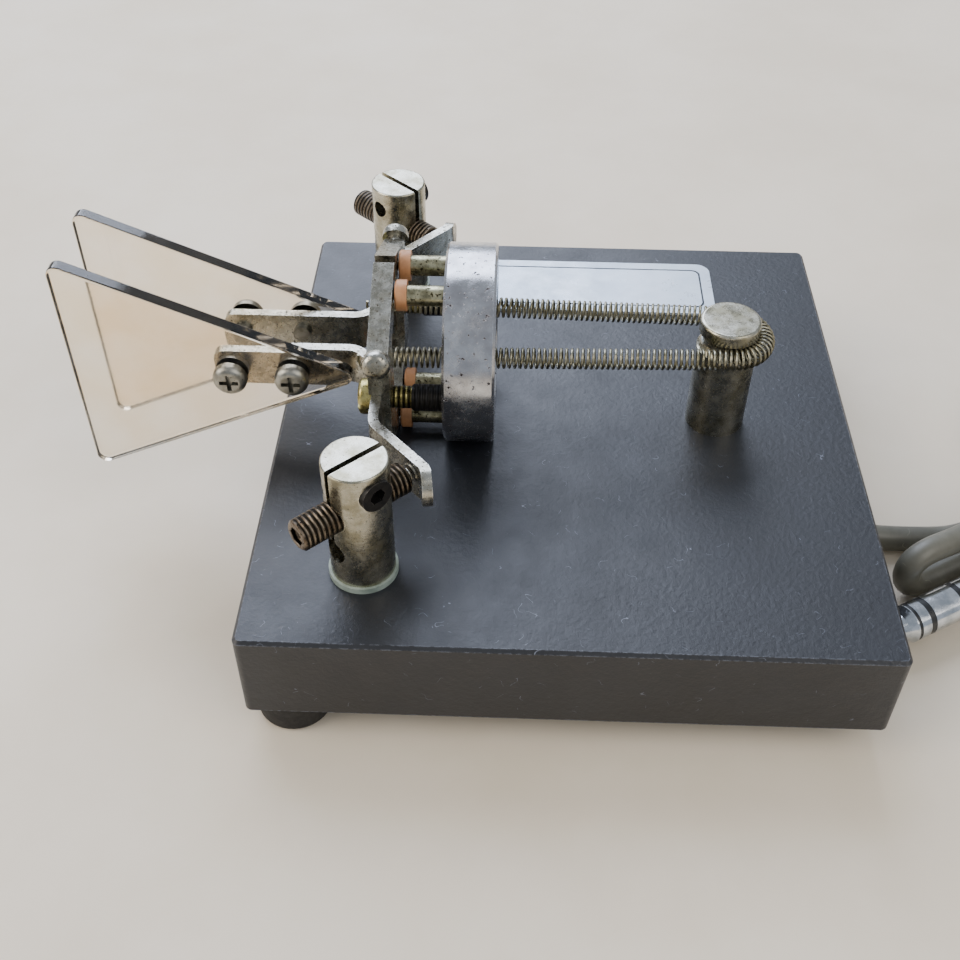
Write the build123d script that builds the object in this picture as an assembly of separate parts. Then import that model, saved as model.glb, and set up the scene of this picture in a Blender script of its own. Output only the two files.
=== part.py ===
from build123d import *
import math
import os

# Iambic Morse paddle key. Model coordinates: X runs from the finger pieces (-X) to the spring post (+X),
# Y across the base, Z up. Every piece is built about the centre of the base's top face and moved once,
# on export, to the middle of the key's footprint at table height. All sizes in millimetres.

# Base
base_length = 95.25
base_width = 101.6
base_thickness = 15.875
base_corner = 1.2
base_edge = 0.5
foot_inset = 6.35
near_right_foot_inset = 16.0
foot_radius = 6.35
foot_height = 6.35
foot_tip_radius = 5.7
foot_round = 1.4
foot_recess_radius = 3.3
foot_recess = 2.4
foot_screw_radius = 1.75
foot_screw_depth = 8.0
foot_head_radius = 3.0
foot_head_height = 1.6
foot_drive_radius = 1.2
foot_drive_depth = 0.9

# Label plate
label_length = 44.4
label_width = 15.9
label_thickness = 0.5
label_corner = 2.5
label_x = 6.2
label_y = 36.65
label_line_inset = 1.9
label_line_width = 0.35
label_line_depth = 0.12

# Ring that carries the bearings
ring_radius = 15.875
ring_bore = 9.3
ring_thickness = 7.94
ring_front_x = -19.75
ring_height = 14.6
ring_chamfer = 0.4
ring_floor = 0.9
pin_circle = 12.42
pin_radius = 1.5875
pin_free = 5.65
pin_depth = 4.0
pin_y = 4.0
bearing_radius = 2.4
bearing_length = 1.8
spigot_radius = 0.8
spigot_length = 1.5
bearing_edge = 0.25
fit_gap = 0.02

# Levers
bar_gap = 0.3
bar_thickness = 3.2
bar_inner_y = 0.9
bar_leg_width = 6.35
bar_outer_y = 15.8
bar_arm_width = 4.4
bar_slope = 23.75
bar_floor_gap = 0.6
bar_corner = 1.4
needle_radius = 1.2
needle_reach = 0.9
needle_cone = 35.0
cup_clearance = 0.02
corner_screw_radius = 1.1
corner_screw_rise = 20.0
corner_screw_z = 22.8
corner_screw_neck = 0.9
corner_hole_spare = 0.5
corner_head_radius = 2.15
corner_head_height = 2.0
corner_head_dome = 1.3
strip_thickness = 1.5
strip_height = 6.35
strip_slot_depth = 1.9
strip_clearance = 0.05
arm_y = 4.3
arm_past_screw = 2.9
arm_bend = 4.3
arm_bend_past = 1.0
strip_bends = [3.0, 2.6, 3.4, 3.0]
strip_corner = 1.6
wing_straight = 6.1
wing_angle = 48.0
wing_length = 12.6
wing_end_angle = 81.0
wing_end_length = 3.2
wing_round = 2.9

# Stops
stop_y = 12.3
stop_radius = 1.75
stop_head_radius = 2.8
stop_head_height = 2.4
stop_head_round = 0.8
stop_slot_width = 0.9
stop_slot_depth = 0.9
stop_gap = 0.02
stud_edge = 0.3
stud_radius = 2.1
stud_free = 4.75
stud_depth = 3.2
run_clearance = 0.05

# Finger pieces
finger_left = -78.5
finger_point = -31.9
finger_height = 40.6
finger_thickness = 2.4
finger_corner = 1.6
finger_edge = 0.4
finger_spacer = 0.85
finger_screw_x = -53.4
finger_screw_pitch = 9.7
finger_screw_radius = 1.42
finger_screw_head_radius = 2.7
finger_screw_head_height = 1.9
finger_head_round = 1.2
cross_length = 3.0
cross_width = 0.7
cross_depth = 1.0
spacer_radius = 2.6
finger_screw_proud = 0.8
finger_hole_clearance = 0.15

# Contact posts
post_x = -30.3
post_y = 36.0
post_radius = 4.7625
post_top = 22.2
post_edge = 0.35
post_slot = 0.9
post_relief_radius = 2.0
post_relief_z = 7.0
insulator_radius = 5.15
insulator_thickness = 1.0
insulator_sleeve = 3.2
contact_z = 13.8
contact_angle = 42.0
contact_radius = 2.4
contact_back = 10.4
contact_edge = 0.4
contact_gap = 0.4
tip_radius = 1.2
tip_length = 0.6
rivet_radius = 1.5
rivet_proud = 0.15
rivet_sunk = 0.5
socket_radius = 1.3
contact_socket_radius = 1.5
socket_depth = 2.2
clamp_z = 18.7
clamp_radius = 1.42
clamp_head_radius = 2.45
clamp_head_height = 2.8
clamp_head_sunk = 2.5
clamp_socket_depth = 1.6
clamp_end_gap = 1.8

# Spring post and spring
spring_post_x = 25.0
spring_post_radius = 4.8
spring_post_height = 20.5
spring_z = 16.8
spring_radius = 1.7
spring_wire = 0.45
spring_wrap = 5.65
spring_end_y = 7.05
spring_end_x = -27.6
hook_z = 15.1
hook_hole = 0.75
hook_overlap = 0.6
hook_past = 3.6
hook_drop = 0.1
hook_rise = 2.0
hook_bend = 0.7
spring_post_edge = 0.5

# Underside hardware
machine_screw = 2.1
machine_head_radius = 3.9
machine_head_height = 2.6
machine_head_round = 1.2
slot_width = 1.0
slot_depth = 1.1
screw_end_gap = 0.3
screw_into_post = 8.0
washer_radius = 4.6
washer_thickness = 0.8
lug_radius = 3.8
lug_thickness = 0.5
lug_tail_width = 2.8
lug_tail = 9.0
lug_turn = 20.0
wire_radius = 0.6
wire_bend = 4.0
wire_straight = 9.0
wire_sag = 0.4
wire_sides = (-1.25, 1.25, 0.0)
wire_ways = ((8.0, -16.0), (10.0, 12.0), (8.0, -6.0))

# Cable, hank and plug. The cord's own frame starts at the plug's tip on the table, s along the plug,
# n to its left and z up from the table.
cord_radius = 2.2
plug_x = 47.95
plug_y = -33.4
plug_angle = 29.6
plug_axis_z = 5.0
plug_radius = 3.175
plug_handle_radius = 5.0
plug_shaft = 31.5
plug_tip_length = 8.4
plug_thin_insulator = 0.6
plug_collar_length = 1.8
plug_insulator_length = 1.1
plug_ring_length = 5.6
plug_insulator_sunk = 0.08
plug_handle_length = 30.0
handle_edge = 0.5
handle_neck_start = 11.0
handle_neck_radius = 3.9
handle_neck_length = 2.0
handle_end_radius = 2.8
clip_x = 40.0
clip_width = 8.0
clip_thickness = 0.6
clip_screw_offset = 4.2
clip_ear = 3.0
clip_head_radius = 3.0
clip_head_height = 1.9
clip_head_round = 0.9
clip_screw_depth = 7.0
clip_clearance = 0.15
hank_start = 106.0
hank_run = 66.0
hank_turn = 13.2
hank_pitch = 5.0
hank_layers = 3
tie_thickness = 0.6
tie_width = 9.0
lead_route = [
    (-2.3, 30.2, 3.5),
    (12.48, 21.8, 3.5),
    (22.5, 16.3, 2.25),
    (33.0, 11.3, 2.25),
    (43.7, 14.1, 2.25),
    (52.3, 24.0, 2.25),
    (61.4, 35.4, 2.25),
    (71.7, 38.4, 2.25),
    (81.5, 34.2, 2.25),
    (86.4, 24.7, 2.25),
    (84.3, 14.25, 2.25),
    (76.0, 7.5, 2.25),
    (64.0, 7.2, 2.25),
    (51.0, 7.5, 2.25),
    (38.5, 7.2, 2.25),
    (27.0, 7.4, 2.25),
    (14.9, 7.2, 2.3),
    (14.7, 7.9, 9.9),
    (27.5, 7.8, 8.9),
    (41.0, 9.4, 8.2),
    (54.5, 14.0, 8.3),
    (68.0, 19.4, 9.6),
    (80.5, 23.6, 11.8),
    (92.0, 26.1, 12.8),
    (103.0, 26.4, 12.8),
]
tail_route = [
    (plug_shaft + plug_handle_length, 0.0, plug_axis_z),
    (71.5, 0.0, plug_axis_z),
    (82.0, 0.3, 4.1),
    (92.0, 0.2, 3.2),
    (102.0, 0.0, 2.8),
]

# Worked out from the sizes above
table_z = -base_thickness - foot_height
ring_back_x = ring_front_x + ring_thickness
pin_end_x = ring_front_x - pin_free
bearing_end_x = pin_end_x - bearing_length
bar_back_x = bearing_end_x - bar_gap
bar_front_x = bar_back_x - bar_thickness
pin_rise = math.sqrt(pin_circle**2 - pin_y**2)
strip_x = bar_front_x + strip_slot_depth - strip_thickness / 2
strip_z = contact_z - 0.6
stud_z = strip_z
stud_end_x = ring_front_x - stud_free
wing_start = -(bar_outer_y + wing_straight)
finger_inner_y = arm_y + strip_thickness / 2 + finger_spacer
finger_outer_y = finger_inner_y + finger_thickness
key_shift = -(finger_left + base_length / 2) / 2
key_place = Location((key_shift, 0, -table_z))
cord_place = Location((plug_x, plug_y, table_z), (0, 0, plug_angle))
slope = math.radians(bar_slope)


def put(name, shape):
    """Writes one piece in the key's own frame."""
    export_step(key_place * shape, f"parts/{name}.step")


def cylinder(start, direction, radius, length):
    """A plain round bar from start along direction."""
    return Plane(origin=start, z_dir=direction) * extrude(Circle(radius), length)


def cone_bar(start, direction, radius, end_radius, length):
    """A round bar that tapers from radius to end_radius."""
    where = Plane(origin=start, z_dir=direction)
    return where * Cone(radius, end_radius, length, align=(Align.CENTER, Align.CENTER, Align.MIN))


def far(shape):
    """The mirror image of a near-side piece, for the far side."""
    return mirror(shape, about=Plane.XZ)


def both(shape):
    """The near-side piece and its far-side twin."""
    return Compound(children=[shape, far(shape)])


def group(shapes):
    """Several separate solids in one node."""
    return Compound(children=list(shapes))


def wire_bar(points, radii, radius):
    """A round bar along straight runs joined by tangent arcs."""
    path = FilletPolyline(*points, radius=radii) if len(points) > 2 else Line(*points)
    return sweep(Plane(origin=path @ 0, z_dir=path % 0) * Circle(radius), path=path)


def route_radii(points):
    """For each corner 0.45 of the shorter run, divided by the tangent of half the turn."""
    found = []
    for before, here, after in zip(points, points[1:], points[2:]):
        first = Vector(*here) - Vector(*before)
        second = Vector(*after) - Vector(*here)
        half_turn = math.radians(first.get_angle(second)) / 2
        found.append(0.45 * min(first.length, second.length) / math.tan(half_turn))
    return found


def foot_places():
    """Centres of the four feet; the near right one stands further in."""
    dx = base_length / 2 - foot_inset
    dy = base_width / 2 - foot_inset
    near_right = (base_length / 2 - near_right_foot_inset, near_right_foot_inset - base_width / 2)
    return [(-dx, -dy), (-dx, dy), near_right, (dx, dy)]


def screw_places():
    """Where a machine screw comes up through the base: ring, spring post."""
    return [((ring_front_x + ring_back_x) / 2, 0.0), (spring_post_x, 0.0)]


def base_plate():
    plate = Pos(0, 0, -base_thickness / 2) * Box(base_length, base_width, base_thickness)
    plate = fillet(plate.edges().filter_by(Axis.Z), base_corner)
    plate = chamfer(plate.faces().sort_by(Axis.Z)[-1].edges(), base_edge)
    for x, y in screw_places():
        plate -= cylinder((x, y, 0), (0, 0, -1), machine_screw + run_clearance, base_thickness)
    for y in (-post_y, post_y):
        plate -= cylinder((post_x, y, 0), (0, 0, -1), insulator_sleeve + run_clearance, base_thickness)
    for x, y in foot_places():
        hole_radius = foot_screw_radius + fit_gap
        plate -= cylinder((x, y, -base_thickness), (0, 0, 1), hole_radius, foot_screw_depth)
    clip_hole = (clip_x, clip_screw_y(), -base_thickness)
    return plate - cylinder(clip_hole, (0, 0, 1), foot_screw_radius + fit_gap, foot_screw_depth)


def rubber_foot():
    foot = Cone(foot_tip_radius, foot_radius, foot_height)
    foot = fillet(foot.edges().sort_by(Axis.Z)[0], foot_round)
    foot -= Pos(0, 0, (foot_recess - foot_height) / 2) * Cylinder(foot_recess_radius, foot_recess)
    return foot - Cylinder(foot_screw_radius + run_clearance, foot_height)


def foot_screw():
    seat = foot_recess - foot_height / 2
    face = (0, 0, seat - foot_head_height)
    head = cylinder(face, (0, 0, 1), foot_head_radius, foot_head_height)
    head -= cylinder(face, (0, 0, 1), foot_drive_radius, foot_drive_depth)
    length = foot_height - foot_recess + foot_screw_depth
    return head + cylinder((0, 0, seat), (0, 0, 1), foot_screw_radius, length)


def at_feet(piece):
    middle = -base_thickness - foot_height / 2
    return group(Pos(x, y, middle) * piece for x, y in foot_places())


def label_plate():
    def outline(inset):
        corner = label_corner - inset / 2
        return RectangleRounded(label_length - 2 * inset, label_width - 2 * inset, corner)

    plate = extrude(outline(0), label_thickness)
    line = outline(label_line_inset) - outline(label_line_inset + label_line_width)
    plate -= Pos(0, 0, label_thickness - label_line_depth) * extrude(line, label_line_depth)
    return Pos(label_x, label_y, 0) * plate


def pin_places():
    """Y and Z of the four bearing pins, on the ring's pitch circle."""
    return [(y, ring_height + rise) for y in (-pin_y, pin_y) for rise in (-pin_rise, pin_rise)]


def frame_ring():
    ring = cylinder((ring_front_x, 0, ring_height), (1, 0, 0), ring_radius, ring_thickness)
    ring = chamfer(ring.edges().filter_by(GeomType.CIRCLE), ring_chamfer)
    ring -= cylinder((ring_front_x, 0, ring_height), (1, 0, 0), ring_bore, ring_thickness)
    for x, way in ((ring_front_x, 1), (ring_back_x, -1)):
        ring -= cone_bar((x, 0, ring_height), (way, 0, 0), ring_bore + ring_chamfer, ring_bore, ring_chamfer)
    ring -= Pos(ring_front_x + ring_thickness / 2, 0, -ring_radius) * Box(
        2 * ring_thickness, 2 * ring_radius, 2 * ring_radius
    )
    for y, z in pin_places():
        ring -= cylinder((ring_front_x, y, z), (1, 0, 0), pin_radius + fit_gap, pin_depth)
    for y in (-stop_y, stop_y):
        ring -= cylinder((ring_front_x, y, stud_z), (1, 0, 0), stud_radius + fit_gap, stud_depth)
    x, y = screw_places()[0]
    return ring - cylinder((x, y, 0), (0, 0, 1), machine_screw + fit_gap, ring_screw_depth())


def ring_screw_depth():
    """The tapped hole stops a little short of the ring's bore."""
    return ring_height - ring_bore - ring_floor


def machine_screw_from_below(x, y, stack, depth):
    """Pan head under the base, with stack millimetres of washers, and a shank that ends depth above the base."""
    head_z = -base_thickness - stack
    head = cylinder((x, y, head_z), (0, 0, -1), machine_head_radius, machine_head_height)
    head = fillet(head.edges().sort_by(Axis.Z)[0], machine_head_round)
    slot = Box(2 * machine_head_radius, slot_width, 2 * slot_depth)
    head -= Pos(x, y, head_z - machine_head_height) * slot
    return head + cylinder((x, y, head_z), (0, 0, 1), machine_screw, base_thickness + stack + depth)


def bearing_pin(y, z):
    pin = cylinder((pin_end_x, y, z), (1, 0, 0), pin_radius, pin_free + pin_depth)
    return pin - cylinder((pin_end_x, y, z), (1, 0, 0), spigot_radius + fit_gap, spigot_length + screw_end_gap)


def nylon_bearing(y, z):
    body = cylinder((bearing_end_x, y, z), (1, 0, 0), bearing_radius, bearing_length)
    body = chamfer(body.edges().sort_by(Axis.X)[0], bearing_edge)
    body += cylinder((pin_end_x, y, z), (1, 0, 0), spigot_radius, spigot_length)
    cup = needle_reach - bar_gap + cup_clearance
    return body - cone_bar((bearing_end_x, y, z), (1, 0, 0), cup, 0.0, cup)


def bar_profile():
    """The near lever bar's C shape in the Y-Z plane, before its corners are rounded."""
    rise = math.tan(slope)
    thick = bar_arm_width / math.cos(slope)
    centre_y = pin_y
    top_at_pin = ring_height + pin_rise + thick / 2
    leg_y = bar_outer_y - bar_leg_width

    def top(y):
        return top_at_pin - (y - centre_y) * rise

    low_floor = bar_floor_gap
    upper = [
        (-bar_inner_y, top(bar_inner_y) - thick),
        (-bar_inner_y, top(bar_inner_y)),
        (-bar_outer_y, top(bar_outer_y)),
    ]
    lower_at = [(y, 2 * ring_height - z) for y, z in reversed(upper)]
    floor_y = centre_y + (top_at_pin - 2 * ring_height + low_floor) / rise
    lower = [lower_at[0], (-floor_y, low_floor), (-bar_inner_y, low_floor), lower_at[2]]
    inner = [
        (-leg_y, 2 * ring_height - top(leg_y) + thick),
        (-leg_y, top(leg_y) - thick),
    ]
    return Plane.YZ * Polyline(*(upper + lower + inner), close=True)


def lever_bar():
    face = make_face(bar_profile())
    bar = Pos(bar_front_x, 0, 0) * extrude(face, bar_thickness)
    outer = [e for e in bar.edges().filter_by(Axis.X) if abs(e.center().Y + bar_outer_y) < 0.01]
    bar = fillet(outer, bar_corner)
    slot_height = strip_height + 2 * strip_clearance
    slot = Box(2 * strip_slot_depth, 3 * bar_leg_width, slot_height)
    bar -= Pos(bar_front_x, -bar_outer_y, strip_z) * slot
    for z in (ring_height - pin_rise, ring_height + pin_rise):
        bar -= cylinder((bar_front_x, -pin_y, z), (1, 0, 0), needle_radius + fit_gap, bar_thickness)
    bar -= cylinder((bar_front_x, -stop_y, stud_z), (1, 0, 0), stop_radius + run_clearance, bar_thickness)
    start, way = corner_axis()
    outside = start - way * corner_screw_neck
    length = corner_screw_neck + bar_leg_width + corner_hole_spare
    return bar - cylinder(outside, way, corner_screw_radius + fit_gap, length)


def corner_axis():
    """Start on the near bar's outer corner and inward direction of its round-headed screw."""
    rise = math.radians(corner_screw_rise)
    start = Vector((bar_front_x + bar_back_x) / 2, -bar_outer_y, corner_screw_z)
    return start, Vector(0, math.cos(rise), -math.sin(rise))


def corner_screw():
    start, way = corner_axis()
    length = corner_screw_neck + bar_leg_width
    under_head = start - way * corner_screw_neck
    head = cylinder(under_head, way * -1, corner_head_radius, corner_head_height)
    crown = head.edges().sort_by(Axis((0, 0, 0), tuple(way)))[0]
    head = fillet(crown, corner_head_dome)
    return head + cylinder(under_head, way, corner_screw_radius, length)


def needles():
    made = []
    for z in (ring_height - pin_rise, ring_height + pin_rise):
        cone = needle_radius / math.tan(math.radians(needle_cone))
        straight = bar_thickness + needle_reach - cone
        body = cylinder((bar_front_x, -pin_y, z), (1, 0, 0), needle_radius, straight)
        body += cone_bar((bar_front_x + straight, -pin_y, z), (1, 0, 0), needle_radius, 0.0, cone)
        made.append(body)
    return group(made)


def strip_points():
    """Centreline of the near lever's strip, from the finger end to the wing's end."""
    swing = math.radians(wing_angle)
    last = math.radians(wing_end_angle)
    bend_start = strip_x - arm_bend
    bend_end = -(bar_outer_y - bar_leg_width) + arm_bend_past
    corner = (strip_x + wing_length * math.cos(swing), wing_start - wing_length * math.sin(swing))
    return [
        (finger_screw_x - arm_past_screw, -arm_y),
        (bend_start, -arm_y),
        (strip_x, bend_end),
        (strip_x, wing_start),
        corner,
        (corner[0] + wing_end_length * math.cos(last), corner[1] - wing_end_length * math.sin(last)),
    ]


def lever_strip():
    path = FilletPolyline(*strip_points(), radius=strip_bends)
    outline = trace(path, strip_thickness)
    strip = Pos(0, 0, strip_z - strip_height / 2) * extrude(outline, strip_height)
    ends = strip.edges().filter_by(Axis.Y).group_by(Axis.X)[0]
    strip = fillet(ends, strip_corner)
    wing_end = Vector(*strip_points()[-1], 0)
    tips = [e for e in strip.edges() if (e.center() - wing_end - Vector(0, 0, e.center().Z)).length < fit_gap]
    strip = fillet([e for e in tips if e.length < 1.1 * strip_thickness], wing_round)
    for x in finger_screws_x():
        strip -= cylinder((x, -2 * arm_y, strip_z), (0, 1, 0), finger_screw_radius + fit_gap, 2 * arm_y)
    strip -= cylinder((bar_front_x, -stop_y, stud_z), (1, 0, 0), stop_radius + run_clearance, 2 * strip_thickness)
    hook_start = (strip_x - 2 * arm_bend, -spring_end_y, hook_z)
    strip -= cylinder(hook_start, (1, 0, 0), hook_hole, 2 * arm_bend + strip_thickness)
    start, way = contact_axis()
    return strip - cylinder(start, way, rivet_radius + fit_gap, wing_face() + rivet_sunk)


def contact_axis():
    """Start on the near post's axis and direction of its contact screw, towards the wing."""
    turn = math.radians(contact_angle)
    return Vector(post_x, -post_y, contact_z), Vector(math.cos(turn), math.sin(turn), 0)


def wing_face():
    """Distance from the near post's axis to the face of the wing that the screw meets."""
    start, way = contact_axis()
    bend = Vector(strip_x, wing_start, contact_z)
    return (bend - start).dot(way) - strip_thickness / 2


def lever_contact():
    start, way = contact_axis()
    face = start + way * (wing_face() - rivet_proud)
    return cylinder(face, way, rivet_radius, rivet_proud + rivet_sunk)


def tip_reach():
    """Distance from the post's axis to the contact tip's face at rest."""
    return wing_face() - rivet_proud - contact_gap


def contact_screw():
    start, way = contact_axis()
    back = start - way * contact_back
    length = contact_back + tip_reach() - tip_length
    screw = cylinder(back, way, contact_radius, length)
    screw = chamfer(screw.edges().filter_by(GeomType.CIRCLE), contact_edge)
    hexagon = Plane(origin=back, z_dir=way) * extrude(RegularPolygon(contact_socket_radius, 6), socket_depth)
    return screw - hexagon


def contact_tip():
    start, way = contact_axis()
    return cylinder(start + way * (tip_reach() - tip_length), way, tip_radius, tip_length)


def across_slot():
    """Direction across the near post's slot, from its threaded side to the clamp screw's head."""
    turn = math.radians(contact_angle)
    return Vector(math.sin(turn), -math.cos(turn), 0)


def contact_post():
    foot = insulator_thickness
    post = cylinder((post_x, -post_y, foot), (0, 0, 1), post_radius, post_top - foot)
    post = fillet(post.edges().filter_by(GeomType.CIRCLE).sort_by(Axis.Z)[-1], post_edge)
    start, way = contact_axis()
    reach = 2 * post_radius
    slot_height = post_top - post_relief_z
    slot = Rot(0, 0, contact_angle) * Box(2 * reach, post_slot, slot_height)
    post -= Pos(post_x, -post_y, post_relief_z + slot_height / 2) * slot
    relief = Vector(post_x, -post_y, post_relief_z) - way * reach
    post -= cylinder(relief, way, post_relief_radius, 2 * reach)
    post -= cylinder(start - way * reach, way, contact_radius + run_clearance, 2 * reach)
    across = across_slot()
    middle = Vector(post_x, -post_y, clamp_z)
    post -= cylinder(middle - across * reach, across, clamp_radius + fit_gap, 2 * reach)
    seat = middle + across * (post_radius - clamp_head_sunk)
    post -= cylinder(seat, across, clamp_head_radius + fit_gap, reach)
    return post - cylinder((post_x, -post_y, foot), (0, 0, 1), machine_screw + fit_gap, post_hole_top() - foot)


def post_hole_top():
    """Height of the tapped hole's end in a contact post."""
    return min(screw_into_post, post_relief_z - post_relief_radius - screw_end_gap)


def clamp_screw():
    across = across_slot()
    seat = Vector(post_x, -post_y, clamp_z) + across * (post_radius - clamp_head_sunk)
    head = cylinder(seat, across, clamp_head_radius, clamp_head_height)
    socket = Plane(origin=seat + across * clamp_head_height, z_dir=across * -1)
    head -= socket * extrude(RegularPolygon(socket_radius, 6), clamp_socket_depth)
    length = 2 * post_radius - clamp_head_sunk - clamp_end_gap
    return head + cylinder(seat, across * -1, clamp_radius, length)


def post_insulator():
    flange = cylinder((post_x, -post_y, 0), (0, 0, 1), insulator_radius, insulator_thickness)
    sleeve = cylinder((post_x, -post_y, 0), (0, 0, -1), insulator_sleeve, base_thickness)
    whole = flange + sleeve
    depth = insulator_thickness + base_thickness
    top = (post_x, -post_y, insulator_thickness)
    return whole - cylinder(top, (0, 0, -1), machine_screw + fit_gap, depth)


def post_washer():
    washer = cylinder((post_x, -post_y, -base_thickness), (0, 0, -1), washer_radius, washer_thickness)
    hole_radius = machine_screw + run_clearance
    return washer - cylinder((post_x, -post_y, -base_thickness), (0, 0, -1), hole_radius, washer_thickness)


def solder_lug(x, y, z, angle):
    """A flat ring with a tail that the wire is soldered to; z is its upper face."""
    ring = extrude(Circle(lug_radius), -lug_thickness)
    tail = Pos(lug_tail / 2, 0, -lug_thickness / 2) * Box(lug_tail, lug_tail_width, lug_thickness)
    hole = extrude(Circle(machine_screw + run_clearance), -lug_thickness)
    return Pos(x, y, z) * Rot(0, 0, angle) * (ring + tail - hole)


def lug_places():
    """Place and heading of the near, far and ring lugs."""
    under_washer = -base_thickness - washer_thickness
    ring_x, ring_y = screw_places()[0]
    return [
        (post_x, -post_y, under_washer, lug_turn),
        (post_x, post_y, under_washer, -lug_turn),
        (ring_x, ring_y, -base_thickness, 0.0),
    ]


def clip_screw_y():
    """The clip's fixing screw stands beside the cable."""
    return cable_exit_y() + cord_radius + clip_screw_offset


def cable_exit_y():
    turn = math.radians(plug_angle)
    s, n, _ = lead_route[0]
    return plug_y + s * math.sin(turn) + n * math.cos(turn)


def cable_clip():
    """A bent strap: a half loop under the cable and a flat ear screwed to the base."""
    y = cable_exit_y()
    z = table_z + lead_route[0][2]
    top = -base_thickness
    inner = cord_radius + clip_clearance
    outer = inner + clip_thickness
    section = Pos(y, z) * Circle(outer) + Pos(y, (z + top) / 2) * Rectangle(2 * outer, top - z)
    ear_y = clip_screw_y() + clip_ear
    section += Pos((y + ear_y) / 2, top - clip_thickness / 2) * Rectangle(ear_y - y, clip_thickness)
    section -= Pos(y, z) * Circle(inner)
    section -= Pos(y, (z + top) / 2) * Rectangle(2 * inner, top - z)
    section -= Pos(y, top + outer) * Rectangle(2 * outer, 2 * outer)
    start = Pos(clip_x - clip_width / 2, 0, 0)
    clip = start * extrude(Plane.YZ * section, clip_width)
    under = (clip_x, clip_screw_y(), top - clip_thickness)
    return clip - cylinder(under, (0, 0, 1), foot_screw_radius + run_clearance, clip_thickness)


def cable_clip_screw():
    z = -base_thickness - clip_thickness
    head = cylinder((clip_x, clip_screw_y(), z), (0, 0, -1), clip_head_radius, clip_head_height)
    head = fillet(head.edges().sort_by(Axis.Z)[0], clip_head_round)
    return head + cylinder((clip_x, clip_screw_y(), z), (0, 0, 1), foot_screw_radius, clip_screw_depth)


def lead_wires():
    """Three insulated wires from the cable's cut end to the lugs."""
    start_x, _, z = cord_point(lead_route[0])
    y = cable_exit_y()
    wires = []
    for (x, lug_y, lug_z, heading), side, way in zip(lug_places(), wire_sides, wire_ways):
        turn = math.radians(heading)
        end_z = lug_z - lug_thickness - wire_radius
        end = (x + lug_tail * math.cos(turn) - 1.0, lug_y + lug_tail * math.sin(turn), end_z)
        leaving = (start_x - wire_straight, y + side, z)
        points = [(start_x, y + side, z), leaving, (*way, end_z - wire_sag), end]
        wires.append(wire_bar(points, [wire_bend, wire_bend], wire_radius))
    return group(wires)


def cord_point(point):
    """A point of the cord's own frame, in model coordinates."""
    turn = math.radians(plug_angle)
    s, n, z = point
    x = plug_x + s * math.cos(turn) - n * math.sin(turn)
    y = plug_y + s * math.sin(turn) + n * math.cos(turn)
    return x, y, z + table_z


def cord_tube(name, route):
    """A plain tube along the route, with its volume compared with section times length."""
    radii = route_radii(route)
    tube = wire_bar(route, radii, cord_radius)
    path = FilletPolyline(*route, radius=radii) if len(route) > 2 else Line(*route)
    section = math.pi * cord_radius**2
    print(name, "radii", [round(r, 1) for r in radii], "length", round(path.length, 1))
    print(name, "volume ratio", round(tube.volume / (section * path.length), 4))
    return cord_place * tube


def hank_outline(offset):
    """The hank's racetrack, offset outwards from the line of its turns."""
    return SlotCenterToCenter(hank_run, 2 * (hank_turn + offset))


def hank_height():
    return 2 * cord_radius + (hank_layers - 1) * hank_pitch


def cord_hank():
    ring = hank_outline(cord_radius) - hank_outline(-cord_radius)
    solid = extrude(ring, hank_height())
    return cord_place * Pos(hank_start + hank_run / 2, hank_turn, tie_thickness) * solid


def cord_tie():
    inner_width = 2 * (hank_turn + cord_radius)
    inner_height = hank_height()
    loop = Rectangle(inner_width + 2 * tie_thickness, inner_height + 2 * tie_thickness)
    loop -= Rectangle(inner_width, inner_height)
    band = Pos(-tie_width / 2, 0, 0) * extrude(Plane.YZ * loop, tie_width)
    return cord_place * Pos(hank_start + hank_run / 2, hank_turn, tie_thickness + inner_height / 2) * band


def turned(profile):
    """A turned piece of the plug, from points of distance along the plug and radius."""
    points = [(profile[0][0], 0.0), *profile, (profile[-1][0], 0.0)]
    face = make_face(Polyline(*points, close=True))
    solid = revolve(face, Axis.X)
    return cord_place * Pos(0, 0, plug_axis_z) * solid


def plug_tip():
    nose = [(0.0, 0.9), (0.8, 1.9), (2.2, 2.7), (3.6, 2.9), (5.0, 2.3), (5.9, 2.0), (6.9, 2.4)]
    return turned([*nose, (8.2, plug_radius), (plug_tip_length, plug_radius)])


def plug_marks():
    """Distances along the plug where its insulators start and end, one after the other."""
    steps = [plug_thin_insulator, plug_collar_length, plug_insulator_length]
    steps += [plug_ring_length, plug_insulator_length]
    marks = [plug_tip_length]
    for step in steps:
        marks.append(marks[-1] + step)
    return marks


def plug_insulators():
    r = plug_radius - plug_insulator_sunk
    marks = plug_marks()
    return group(turned([(start, r), (end, r)]) for start, end in zip(marks[0::2], marks[1::2]))


def plug_band(start, end):
    """A plain metal section of the plug."""
    return turned([(start, plug_radius), (end, plug_radius)])


def plug_handle():
    r = plug_handle_radius
    end = plug_shaft + plug_handle_length
    neck = end - handle_neck_start
    shape = [
        (plug_shaft, r - handle_edge),
        (plug_shaft + handle_edge, r),
        (neck, r),
        (neck + handle_neck_length, handle_neck_radius),
        (end, handle_end_radius),
    ]
    return turned(shape)


def spring_post():
    post = cylinder((spring_post_x, 0, 0), (0, 0, 1), spring_post_radius, spring_post_height)
    post = fillet(post.edges().filter_by(GeomType.CIRCLE).sort_by(Axis.Z)[-1], spring_post_edge)
    groove = Pos(spring_post_x, 0, spring_z) * Torus(spring_wrap, spring_radius + run_clearance)
    post -= groove
    return post - cylinder((spring_post_x, 0, 0), (0, 0, 1), machine_screw + fit_gap, screw_into_post)


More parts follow.
